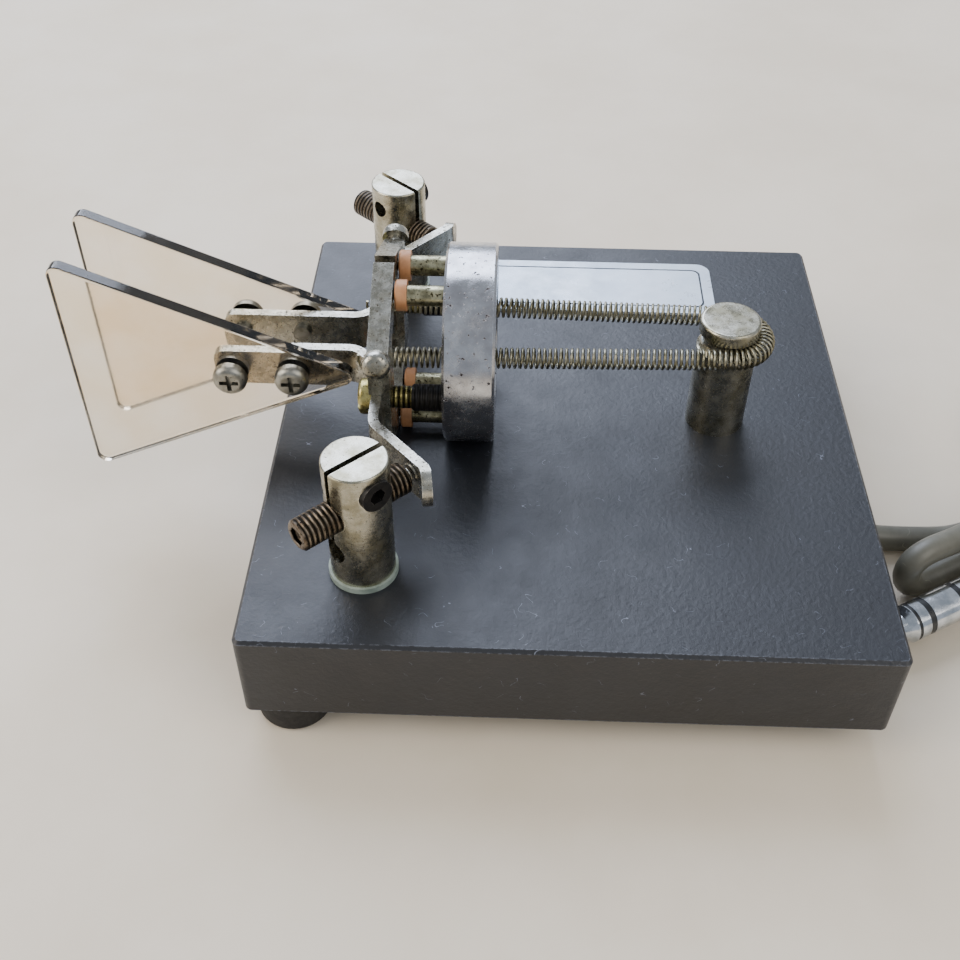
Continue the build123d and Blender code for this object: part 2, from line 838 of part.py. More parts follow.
def spring_line():
    """The near straight's tangent point on the spring post, from the hook end."""
    dx = spring_end_x - spring_post_x
    away = math.hypot(dx, spring_end_y)
    angle = math.atan2(-spring_end_y, dx) + math.acos(spring_wrap / away)
    return spring_post_x + spring_wrap * math.cos(angle), spring_wrap * math.sin(angle)


def tension_spring():
    """The spring as a hollow tube of its outer diameter, with the two end hooks."""
    x, y = spring_line()
    near_end = (spring_end_x, -spring_end_y, spring_z)
    far_end = (spring_end_x, spring_end_y, spring_z)
    around = ThreePointArc(
        (x, y, spring_z), (spring_post_x + spring_wrap, 0, spring_z), (x, -y, spring_z)
    )
    path = Wire([Line(near_end, (x, y, spring_z)), around, Line((x, -y, spring_z), far_end)])
    start = Plane(origin=path @ 0, z_dir=path % 0)
    tube = sweep(start * Circle(spring_radius), path=path)
    tube -= sweep(start * Circle(spring_radius - spring_wire), path=path)
    low = spring_z - spring_radius + spring_wire / 2
    hook_x = strip_x - hook_past
    hook_path = [
        (spring_end_x + hook_overlap, -spring_end_y, low),
        (hook_x, -spring_end_y, hook_z - hook_drop),
        (hook_x, -spring_end_y, hook_z + hook_rise),
    ]
    hook = wire_bar(hook_path, [hook_bend], spring_wire / 2)
    return tube + hook + far(hook)


def finger_screws_x():
    return [finger_screw_x, finger_screw_x + finger_screw_pitch]


def finger_piece():
    corners = [
        (finger_left, strip_z - finger_height / 2),
        (finger_point, strip_z),
        (finger_left, strip_z + finger_height / 2),
    ]
    outline = make_face(Plane.XZ * Polyline(*corners, close=True))
    plate = Pos(0, -finger_inner_y, 0) * extrude(outline, finger_thickness)
    plate = fillet(plate.edges().filter_by(Axis.Y), finger_corner)
    rims = plate.faces().filter_by(Axis.Y).edges()
    plate = fillet(rims, finger_edge)
    for x in finger_screws_x():
        hole_radius = finger_screw_radius + finger_hole_clearance
        plate -= cylinder((x, -finger_outer_y, strip_z), (0, 1, 0), hole_radius, finger_thickness)
    return plate


def finger_screws():
    made = []
    for x in finger_screws_x():
        seat = (x, -finger_outer_y, strip_z)
        head = cylinder(seat, (0, -1, 0), finger_screw_head_radius, finger_screw_head_height)
        head = fillet(head.edges().sort_by(Axis.Y)[0], finger_head_round)
        cross = Box(cross_length, 2 * cross_depth, cross_width)
        cross += Box(cross_width, 2 * cross_depth, cross_length)
        head -= Pos(x, -finger_outer_y - finger_screw_head_height, strip_z) * cross
        length = finger_outer_y - arm_y + strip_thickness / 2 + finger_screw_proud
        made.append(head + cylinder(seat, (0, 1, 0), finger_screw_radius, length))
    return group(made)


def finger_spacers():
    made = []
    for x in finger_screws_x():
        ring = cylinder((x, -finger_inner_y, strip_z), (0, 1, 0), spacer_radius, finger_spacer)
        hole_radius = finger_screw_radius + finger_hole_clearance
        made.append(ring - cylinder((x, -finger_inner_y, strip_z), (0, 1, 0), hole_radius, finger_spacer))
    return group(made)


def stop_screw():
    head_x = strip_x - strip_thickness / 2
    head = cylinder((head_x, -stop_y, stud_z), (-1, 0, 0), stop_head_radius, stop_head_height)
    head = fillet(head.edges().sort_by(Axis.X)[0], stop_head_round)
    slot = Box(2 * stop_slot_depth, 2 * stop_head_radius, stop_slot_width)
    head -= Pos(head_x - stop_head_height, -stop_y, stud_z) * slot
    length = stud_end_x - stop_gap - head_x
    return head + cylinder((head_x, -stop_y, stud_z), (1, 0, 0), stop_radius, length)


def stop_stud():
    length = stud_free + stud_depth
    stud = cylinder((stud_end_x, -stop_y, stud_z), (1, 0, 0), stud_radius, length)
    return chamfer(stud.edges().sort_by(Axis.X)[0], stud_edge)


def write_all():
    os.makedirs("parts", exist_ok=True)
    put("base_plate", base_plate())
    put("rubber_feet", at_feet(rubber_foot()))
    put("foot_screws", at_feet(foot_screw()))
    put("label_plate", label_plate())
    put("frame_ring", frame_ring())
    ring_x, ring_y = screw_places()[0]
    put("frame_screw", machine_screw_from_below(ring_x, ring_y, lug_thickness, ring_screw_depth() - screw_end_gap))
    put("bearing_pins", group(bearing_pin(y, z) for y, z in pin_places()))
    put("nylon_bearings", group(nylon_bearing(y, z) for y, z in pin_places()))
    put("stop_studs", both(stop_stud()))
    handed = {
        "lever_bar": lever_bar(),
        "lever_strip": lever_strip(),
        "needles": needles(),
        "corner_screw": corner_screw(),
        "stop_screw": stop_screw(),
        "finger_piece": finger_piece(),
        "finger_screws": finger_screws(),
        "finger_spacers": finger_spacers(),
        "lever_contact": lever_contact(),
        "contact_post": contact_post(),
        "contact_screw": contact_screw(),
        "contact_tip": contact_tip(),
    }
    for name, shape in handed.items():
        put(f"near_{name}", shape)
        put(f"far_{name}", far(shape))
    put("clamp_screws", both(clamp_screw()))
    put("post_insulators", both(post_insulator()))
    put("post_washers", both(post_washer()))
    stack = washer_thickness + lug_thickness
    screw = machine_screw_from_below(post_x, -post_y, stack, post_hole_top() - screw_end_gap)
    put("post_screws", both(screw))
    put("solder_lugs", group(solder_lug(*place) for place in lug_places()))
    put("spring_post", spring_post())
    put("spring_post_screw", machine_screw_from_below(spring_post_x, 0.0, 0.0, screw_into_post - screw_end_gap))
    put("tension_spring", tension_spring())
    put("cable_clip", cable_clip())
    put("cable_clip_screw", cable_clip_screw())
    put("lead_wires", lead_wires())
    put("cord_lead", cord_tube("cord_lead", lead_route))
    put("cord_tail", cord_tube("cord_tail", tail_route))
    put("cord_hank", cord_hank())
    put("cord_tie", cord_tie())
    put("plug_tip", plug_tip())
    put("plug_insulators", plug_insulators())
    marks = plug_marks()
    put("plug_collar", plug_band(marks[1], marks[2]))
    put("plug_ring", plug_band(marks[3], marks[4]))
    put("plug_sleeve", plug_band(marks[5], plug_shaft))
    put("plug_handle", plug_handle())


write_all()
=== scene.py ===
"""Iambic Morse paddle key: finishes, wound spring, loose cable and studio view."""
import logging
import math
from collections.abc import Iterable, Mapping
from dataclasses import dataclass
from enum import Enum

import bpy
from mathutils import Matrix, Vector


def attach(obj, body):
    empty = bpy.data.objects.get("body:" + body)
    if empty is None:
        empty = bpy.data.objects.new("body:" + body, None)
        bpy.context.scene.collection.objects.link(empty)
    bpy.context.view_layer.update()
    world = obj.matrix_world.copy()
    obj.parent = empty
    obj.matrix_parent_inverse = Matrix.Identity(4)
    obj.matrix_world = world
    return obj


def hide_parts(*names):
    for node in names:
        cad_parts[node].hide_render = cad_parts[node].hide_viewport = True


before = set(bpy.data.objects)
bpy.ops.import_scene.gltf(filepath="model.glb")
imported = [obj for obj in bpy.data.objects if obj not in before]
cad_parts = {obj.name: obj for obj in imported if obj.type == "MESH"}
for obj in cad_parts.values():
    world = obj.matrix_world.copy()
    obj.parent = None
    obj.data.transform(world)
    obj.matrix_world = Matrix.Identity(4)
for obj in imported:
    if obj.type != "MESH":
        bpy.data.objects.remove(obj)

MM = 0.001
LOG = logging.getLogger("paddle_key")
Point = tuple[float, float, float]
THREAD_PITCH_MM = 0.79
# Near-black painted shade in screw thread roots.
THREAD_ROOT_SHADE = "#15130f"
CONTACT_ANGLE_DEG = 42.0
PIT_ROUGHNESS = 0.85


class Body(Enum):
    """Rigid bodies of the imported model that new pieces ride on."""

    BASE = "base"


class Side(Enum):
    """Operator's near side or far side, with the sign of its Y."""

    NEAR = -1
    FAR = 1

    @property
    def prefix(self) -> str:
        """Start of this side's node names."""
        return self.name.lower()


def linear(code: str) -> tuple[float, float, float, float]:
    """Turns an sRGB hex colour into linear RGBA.

    Args:
        code: Colour such as "#a0b0c0".

    Returns:
        Linear red, green and blue, and an alpha of 1.
    """
    values = [int(code[i:i + 2], 16) / 255 for i in (1, 3, 5)]
    red, green, blue = (v / 12.92 if v <= 0.04045 else ((v + 0.055) / 1.055) ** 2.4 for v in values)
    return red, green, blue, 1.0


class Graph:
    """Node tree of one material."""

    def __init__(self, name: str) -> None:
        """Starts an empty tree.

        Args:
            name: Material name.
        """
        self.material = bpy.data.materials.new(name)
        self.material.use_nodes = True
        self.tree = self.material.node_tree
        self.tree.nodes.clear()

    def add(self, kind: str, inputs: Mapping[str | int, object], **settings: object) -> bpy.types.Node:
        """Adds one node and fills its inputs.

        Args:
            kind: Blender's node type.
            inputs: Value or socket for each input, by name or index.
            **settings: Node properties, set first.

        Returns:
            The new node.
        """
        node = self.tree.nodes.new(kind)
        for key, value in settings.items():
            setattr(node, key, value)
        for key, value in inputs.items():
            if isinstance(value, bpy.types.NodeSocket):
                self.tree.links.new(value, node.inputs[key])
            else:
                node.inputs[key].default_value = value
        return node


@dataclass(frozen=True)
class Pits:
    """Corrosion pits. Share is the noise level above which metal is eaten."""

    size_mm: float
    level: float
    colour: str
    depth_mm: float = 0.03


@dataclass(frozen=True)
class Hairs:
    """Fine curved scratches and fibres. Width is in noise units."""

    size_mm: float
    width: float
    colour: str
    cover: float = 0.5


@dataclass(frozen=True)
class Edge:
    """Worn edges where plating or paint is rubbed."""

    colour: str
    radius_mm: float = 0.25
    breakup_mm: float = 0.5


@dataclass(frozen=True)
class Thread:
    """Screw thread along an axis, past a start in mm along that axis, with painted shade in its roots."""

    axis: Point
    pitch_mm: float
    start_mm: float = -1000.0
    depth_mm: float = 0.25


@dataclass(frozen=True)
class Groove:
    """Recess filled with a dark line, below a height in mm; side faces inside the same band of height also
    get the dark colour, as painted edge shade.
    """

    below_mm: float
    above_mm: float
    colour: str


@dataclass(frozen=True)
class Finish:
    """Procedural surface at real scale."""

    name: str
    base: str
    second: str
    roughness: float
    metallic: float = 0.0
    rough_spread: float = 0.12
    mottle_mm: float = 5.0
    grain_mm: float = 0.3
    grain_depth_mm: float = 0.01
    grain_stretch: Point = (1.0, 1.0, 1.0)
    transmission: float = 0.0
    ior: float = 1.5
    pits: Pits | None = None
    hairs: Hairs | None = None
    edge: Edge | None = None
    thread: Thread | None = None
    groove: Groove | None = None

    def material(self) -> bpy.types.Material:
        """Finds or builds this finish.

        Returns:
            The material.
        """
        found = bpy.data.materials.get(self.name)
        if found:
            return found
        graph = Graph(self.name)
        place = graph.add("ShaderNodeTexCoord", {}).outputs["Object"]
        scaled = graph.add("ShaderNodeVectorMath", {0: place, 1: (1 / MM,) * 3}, operation="MULTIPLY")
        at = scaled.outputs[0]
        colour, rough = self._ground(graph, at)
        normal = self._grain(graph, at)
        colour, rough, normal = self._marks(graph, at, colour, rough, normal)
        shader = graph.add("ShaderNodeBsdfPrincipled", {
            "Base Color": colour,
            "Roughness": rough,
            "Normal": normal,
            "Metallic": self.metallic,
            "IOR": self.ior,
            "Transmission Weight": self.transmission,
        })
        graph.add("ShaderNodeOutputMaterial", {"Surface": shader.outputs[0]})
        return graph.material

    def _mask(
        self, graph: Graph, value: bpy.types.NodeSocket, low: float, high: float
    ) -> bpy.types.NodeSocket:
        """Ramps a value to 0 below low and 1 above high.

        Args:
            graph: Tree to add to.
            value: Value to ramp.
            low: Value that gives 0.
            high: Value that gives 1.

        Returns:
            The ramped value.
        """
        inputs = {"Value": value, "From Min": low, "From Max": high}
        return graph.add("ShaderNodeMapRange", inputs, interpolation_type="SMOOTHSTEP").outputs[0]

    def _ground(self, graph: Graph, at: bpy.types.NodeSocket) -> tuple[object, object]:
        """Mottled colour and uneven roughness.

        Args:
            graph: Tree to add to.
            at: Position in mm.

        Returns:
            Colour and roughness sockets.
        """
        cloud = graph.add("ShaderNodeTexNoise", {
            "Vector": at, "Scale": 1 / self.mottle_mm, "Detail": 5.0, "Roughness": 0.62,
        })
        mask = self._mask(graph, cloud.outputs[0], 0.34, 0.66)
        colours = {0: mask, 6: linear(self.base), 7: linear(self.second)}
        mix = graph.add("ShaderNodeMix", colours, data_type="RGBA")
        low = max(0.02, self.roughness - self.rough_spread)
        high = min(1.0, self.roughness + self.rough_spread)
        smear = graph.add("ShaderNodeTexNoise", {
            "Vector": at, "Scale": 2.3 / self.mottle_mm, "Detail": 4.0, "Roughness": 0.7,
        })
        rough = graph.add("ShaderNodeMapRange", {
            "Value": smear.outputs[0], "From Min": 0.3, "From Max": 0.7, "To Min": low, "To Max": high,
        })
        return mix.outputs[2], rough.outputs[0]

    def _grain(self, graph: Graph, at: bpy.types.NodeSocket) -> bpy.types.NodeSocket:
        """Fine relief of the surface.

        Args:
            graph: Tree to add to.
            at: Position in mm.

        Returns:
            Normal socket.
        """
        stretch = tuple(1 / (s * self.grain_mm) for s in self.grain_stretch)
        run = graph.add("ShaderNodeVectorMath", {0: at, 1: stretch}, operation="MULTIPLY")
        noise = graph.add("ShaderNodeTexNoise", {
            "Vector": run.outputs[0], "Scale": 1.0, "Detail": 3.0, "Roughness": 0.6,
        })
        bump = graph.add("ShaderNodeBump", {
            "Height": noise.outputs[0], "Distance": self.grain_depth_mm * MM, "Strength": 1.0,
        })
        return bump.outputs[0]

    def _marks(
        self, graph: Graph, at: bpy.types.NodeSocket, colour: object, rough: object, normal: object
    ) -> tuple[object, object, object]:
        """Lays edges, hairs, pits, threads with painted shade in their roots, and recessed lines with
        painted edge shade, over the ground.

        Args:
            graph: Tree to add to.
            at: Position in mm.
            colour: Colour so far.
            rough: Roughness so far.
            normal: Normal so far.

        Returns:
            Colour, roughness and normal sockets.
        """
        if self.edge:
            round_normal = graph.add("ShaderNodeBevel", {"Radius": self.edge.radius_mm * MM}, samples=4)
            flat = graph.add("ShaderNodeNewGeometry", {}).outputs["Normal"]
            pair = {0: round_normal.outputs[0], 1: flat}
            turn = graph.add("ShaderNodeVectorMath", pair, operation="DOT_PRODUCT")
            worn = self._mask(graph, turn.outputs["Value"], 0.99, 0.86)
            chips = graph.add("ShaderNodeTexNoise", {
                "Vector": at, "Scale": 1 / self.edge.breakup_mm, "Detail": 3.0,
            })
            broken = self._mask(graph, chips.outputs[0], 0.40, 0.58)
            mask = graph.add("ShaderNodeMath", {0: worn, 1: broken}, operation="MULTIPLY").outputs[0]
            colours = {0: mask, 6: colour, 7: linear(self.edge.colour)}
            colour = graph.add("ShaderNodeMix", colours, data_type="RGBA").outputs[2]
        if self.hairs:
            line = graph.add("ShaderNodeTexNoise", {
                "Vector": at, "Scale": 1 / self.hairs.size_mm, "Detail": 1.0,
            })
            away = graph.add("ShaderNodeMath", {0: line.outputs[0], 1: 0.5}, operation="SUBTRACT")
            size = graph.add("ShaderNodeMath", {0: away.outputs[0]}, operation="ABSOLUTE")
            thin = self._mask(graph, size.outputs[0], self.hairs.width, 0.0)
            patch = graph.add("ShaderNodeTexNoise", {
                "Vector": at, "Scale": 1.7 / self.hairs.size_mm, "Detail": 0.0,
            })
            here = self._mask(graph, patch.outputs[0], self.hairs.cover, self.hairs.cover + 0.04)
            mask = graph.add("ShaderNodeMath", {0: thin, 1: here}, operation="MULTIPLY").outputs[0]
            colours = {0: mask, 6: colour, 7: linear(self.hairs.colour)}
            colour = graph.add("ShaderNodeMix", colours, data_type="RGBA").outputs[2]
        if self.pits:
            eaten = graph.add("ShaderNodeTexNoise", {
                "Vector": at, "Scale": 1 / self.pits.size_mm, "Detail": 4.0, "Roughness": 0.65,
            })
            mask = self._mask(graph, eaten.outputs[0], self.pits.level, self.pits.level + 0.05)
            colours = {0: mask, 6: colour, 7: linear(self.pits.colour)}
            colour = graph.add("ShaderNodeMix", colours, data_type="RGBA").outputs[2]
            dull = {0: mask, 2: rough, 3: PIT_ROUGHNESS}
            rough = graph.add("ShaderNodeMix", dull, data_type="FLOAT").outputs[0]
            normal = graph.add("ShaderNodeBump", {
                "Height": mask, "Distance": self.pits.depth_mm * MM, "Strength": 1.0, "Normal": normal,
            }, invert=True).outputs[0]
        if self.thread:
            along = graph.add("ShaderNodeVectorMath", {0: at, 1: self.thread.axis}, operation="DOT_PRODUCT")
            step = {0: along.outputs["Value"], 1: self.thread.pitch_mm / 2}
            ridge = graph.add("ShaderNodeMath", step, operation="PINGPONG").outputs[0]
            top = self._mask(graph, ridge, 0.0, self.thread.pitch_mm / 2)
            start = self.thread.start_mm
            past = self._mask(graph, along.outputs["Value"], start, start + 0.05)
            height = graph.add("ShaderNodeMath", {0: top, 1: past}, operation="MULTIPLY").outputs[0]
            normal = graph.add("ShaderNodeBump", {
                "Height": height, "Distance": self.thread.depth_mm * MM, "Strength": 1.0, "Normal": normal,
            }).outputs[0]
            # Thread roots take a near-black colour: painted shade in the hollows of the thread.
            low = graph.add("ShaderNodeMath", {0: 1.0, 1: top}, operation="SUBTRACT").outputs[0]
            root = graph.add("ShaderNodeMath", {0: low, 1: past}, operation="MULTIPLY").outputs[0]
            colours = {0: root, 6: colour, 7: linear(THREAD_ROOT_SHADE)}
            colour = graph.add("ShaderNodeMix", colours, data_type="RGBA").outputs[2]
        # Dark band by height: the border line in its recess, and painted edge shade on side faces in the
        # same band.
        if self.groove:
            height = graph.add("ShaderNodeSeparateXYZ", {0: at}).outputs[2]
            under = self._mask(graph, height, self.groove.below_mm, self.groove.below_mm - 0.02)
            over = self._mask(graph, height, self.groove.above_mm, self.groove.above_mm + 0.02)
            mask = graph.add("ShaderNodeMath", {0: under, 1: over}, operation="MULTIPLY").outputs[0]
            colours = {0: mask, 6: colour, 7: linear(self.groove.colour)}
            colour = graph.add("ShaderNodeMix", colours, data_type="RGBA").outputs[2]
        return colour, rough, normal


def contact_finish(side: Side) -> Finish:
    """Browned, threaded steel of a contact screw.

    Args:
        side: Side of the key.

    Returns:
        The finish, with its thread along the screw.
    """
    angle = math.radians(CONTACT_ANGLE_DEG)
    axis = (math.cos(angle), -side.value * math.sin(angle), 0.0)
    return Finish(
        f"browned_steel_rolled_thread_{side.prefix}", "#8d8070", "#5e5245", 0.34, metallic=1.0,
        mottle_mm=1.8, pits=Pits(0.5, 0.60, "#2a2118"), thread=Thread(axis, THREAD_PITCH_MM),
    )


# Sprayed black enamel with a fine orange peel: broad dull highlights, a few pale fibres and rubbed edges.
PAINT = Finish(
    "black_enamel_sprayed_texture", "#15171c", "#191c22", 0.44, rough_spread=0.05, mottle_mm=14.0,
    grain_mm=0.80, grain_depth_mm=0.07, ior=1.55, hairs=Hairs(3.0, 0.004, "#757b8a", 0.68),
    edge=Edge("#6f7480", 0.30, 0.55), pits=Pits(0.55, 0.735, "#7d8494", 0.01),
)
# Nickel plate eaten through in small pits: bright metal with dull brown specks and polished edges.
PITTED_PLATE = Finish(
    "nickel_plated_brass_pitted", "#b4b2a8", "#8d897b", 0.27, metallic=1.0, mottle_mm=2.6,
    grain_mm=0.18, grain_depth_mm=0.012, pits=Pits(0.5, 0.60, "#4b463c", 0.03),
    edge=Edge("#e2e0d6", 0.25, 0.8),
)
# Turned, tarnished nickel: soft warm patches round the post and fine specks.
POST_NICKEL = Finish(
    "nickel_plated_brass_tarnished", "#b7b4a6", "#908b76", 0.27, metallic=1.0, mottle_mm=3.2,
    grain_mm=0.12, grain_depth_mm=0.008, grain_stretch=(6.0, 6.0, 1.0),
    pits=Pits(0.35, 0.64, "#4a4331", 0.02), edge=Edge("#e6e1cc", 0.22, 0.9),
)
# Nickel plate brushed along the ring. The brush lines are drawn coarser than real ones, to show.
RING_STEEL = Finish(
    "nickel_plated_steel_brushed", "#c8cace", "#a6a5a8", 0.22, metallic=1.0, mottle_mm=5.0,
    grain_mm=0.10, grain_depth_mm=0.01, grain_stretch=(1.0, 9.0, 9.0),
    pits=Pits(0.8, 0.62, "#3c302b", 0.03), edge=Edge("#dfe2e8", 0.22, 0.9),
)
# Small nickel pins gone yellow, with dark spots.
PIN_NICKEL = Finish(
    "nickel_plated_pin_tarnished", "#b6b294", "#77735a", 0.32, metallic=1.0, mottle_mm=1.6,
    pits=Pits(0.6, 0.57, "#37331f", 0.03),
)
# Moulded nylon darkened by age: an even, waxy tan.
NYLON = Finish(
    "nylon_moulded_aged", "#c08c62", "#b07a50", 0.48, mottle_mm=1.5, grain_mm=0.15,
    pits=Pits(0.5, 0.70, "#6d4a30", 0.01),
)
# Black oxide on steel: dark satin, with bare metal on the edges.
BLACK_OXIDE = Finish(
    "steel_black_oxide", "#1b1b1c", "#2a2826", 0.38, metallic=0.6, mottle_mm=1.6, grain_mm=0.12,
    edge=Edge("#777470", 0.12, 0.3), pits=Pits(0.4, 0.68, "#4d4438", 0.01),
)
# Black oxide on a threaded stud: dark rings along its length, painted shade in the thread roots.
STUD = Finish(
    "steel_black_oxide_threaded", "#18181a", "#262422", 0.42, metallic=0.6, mottle_mm=1.2,
    thread=Thread((1.0, 0.0, 0.0), THREAD_PITCH_MM),
)
# Nickel worn to brass, with a rolled thread behind the head.
STOP_BRASS = Finish(
    "nickel_plated_brass_rolled_thread", "#b8ad74", "#7e7340", 0.30, metallic=1.0, mottle_mm=1.4,
    pits=Pits(0.5, 0.60, "#3a3216", 0.02),
    thread=Thread((1.0, 0.0, 0.0), THREAD_PITCH_MM, start_mm=-14.8),
)
# Zinc plate: a grey satin with faint cloudiness.
ZINC = Finish(
    "steel_zinc_plated", "#9f9e96", "#7e7c74", 0.36, metallic=1.0, mottle_mm=1.4, grain_mm=0.15,
    pits=Pits(0.5, 0.66, "#4b463b", 0.01),
)
# Cut acrylic sheet with polished edges: clear, faintly warm, finely scratched.
ACRYLIC = Finish(
    "acrylic_sheet_cut_polished", "#fdf4e6", "#f9ead2", 0.07, rough_spread=0.04, mottle_mm=9.0,
    grain_mm=1.2, grain_depth_mm=0.004, transmission=1.0, ior=1.49,
    hairs=Hairs(4.5, 0.004, "#fbf7ea", 0.58), edge=Edge("#f0cdb8", 0.45, 1.0),
)
# Turned silver contact: pale, with a soft shine.
SILVER = Finish("silver_contact_turned", "#d9d7d0", "#a8a398", 0.25, metallic=1.0, mottle_mm=0.8)
# Wound spring wire: grey with a slightly yellow tarnish.
SPRING_STEEL = Finish(
    "spring_steel_wound", "#a19d8a", "#7b765f", 0.33, metallic=1.0, mottle_mm=2.2, grain_mm=0.1,
    pits=Pits(0.7, 0.66, "#3d3826", 0.005),
)
# Moulded washer: a matt grey green.
INSULATOR = Finish(
    "insulating_washer_moulded", "#9aa69c", "#7d8a80", 0.55, mottle_mm=2.0,
    pits=Pits(0.6, 0.68, "#4a4f49", 0.01),
)
# Moulded rubber: nearly black, with no shine.
RUBBER = Finish(
    "rubber_moulded", "#151515", "#1e1d1c", 0.78, mottle_mm=3.0, grain_depth_mm=0.02,
    pits=Pits(0.5, 0.70, "#4a4844", 0.01),
)
# Tinned brass lug: a soft grey shine.
TINNED = Finish("brass_tinned_stamped", "#c4c3bc", "#96938a", 0.35, metallic=1.0, mottle_mm=1.2)
# Insulated wire: a dark red with a low shine.
WIRE = Finish("copper_wire_insulated", "#7a1c16", "#6a1712", 0.45, mottle_mm=4.0)
# Anodised aluminium plate, brushed across: pale blue white, with its thin dark border line; the same dark
# colour on the plate's side faces just under the top is painted edge shade.
LABEL = Finish(
    "aluminium_anodised_plate", "#ced9e5", "#bfccda", 0.36, metallic=0.40, mottle_mm=7.0,
    grain_mm=0.10, grain_depth_mm=0.004, grain_stretch=(12.0, 1.0, 1.0),
    hairs=Hairs(5.0, 0.004, "#e4e8ee", 0.60), groove=Groove(22.66, 22.58, "#20242c"),
    edge=Edge("#dfe5ec", 0.15, 0.6),
)
# Extruded PVC: an olive grey with a low, even shine and faint scuffs.
CABLE = Finish(
    "pvc_cable_extruded", "#68665a", "#57554a", 0.42, mottle_mm=9.0, grain_mm=0.5,
    grain_depth_mm=0.012, hairs=Hairs(4.0, 0.005, "#8b8979", 0.60),
)
# Woven nylon strap: black and matt, its weave drawn as a coarse relief.
STRAP = Finish(
    "nylon_strap_woven", "#121212", "#1d1d1d", 0.85, mottle_mm=1.2, grain_mm=0.5,
    grain_depth_mm=0.12,
)
# Turned nickel plate: nearly a mirror, with fine scratches.
PLUG_NICKEL = Finish(
    "nickel_plated_plug_turned", "#d5d9de", "#aeb4ba", 0.15, metallic=1.0, mottle_mm=3.0,
    grain_mm=0.08, grain_depth_mm=0.004, hairs=Hairs(2.0, 0.005, "#6f7274", 0.60),
    pits=Pits(0.8, 0.70, "#8a7444", 0.005),
)
# Moulded plastic: a black satin with slightly paler edges.
PLUG_BLACK = Finish(
    "plug_plastic_moulded", "#101112", "#1a1b1c", 0.35, mottle_mm=3.0, grain_mm=0.25,
    edge=Edge("#3a3b3c", 0.2, 0.5),
)

# Plain pale board: warm and matt.
FLOOR = Finish("floor_pale_matt", "#e8dcc8", "#e0d3bd", 0.62, mottle_mm=60.0)


@dataclass(frozen=True)
class CadPieces:
    """CAD nodes that stay, with one finish."""

    finish: Finish
    nodes: tuple[str, ...]

    def dress(self) -> None:
        """Puts the finish on each node's material slots."""
        for name in self.nodes:
            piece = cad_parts[name]
            if not piece.material_slots:
                piece.data.materials.append(self.finish.material())
            for slot in piece.material_slots:
                slot.material = self.finish.material()
            LOG.info("%s: %s", name, self.finish.name)


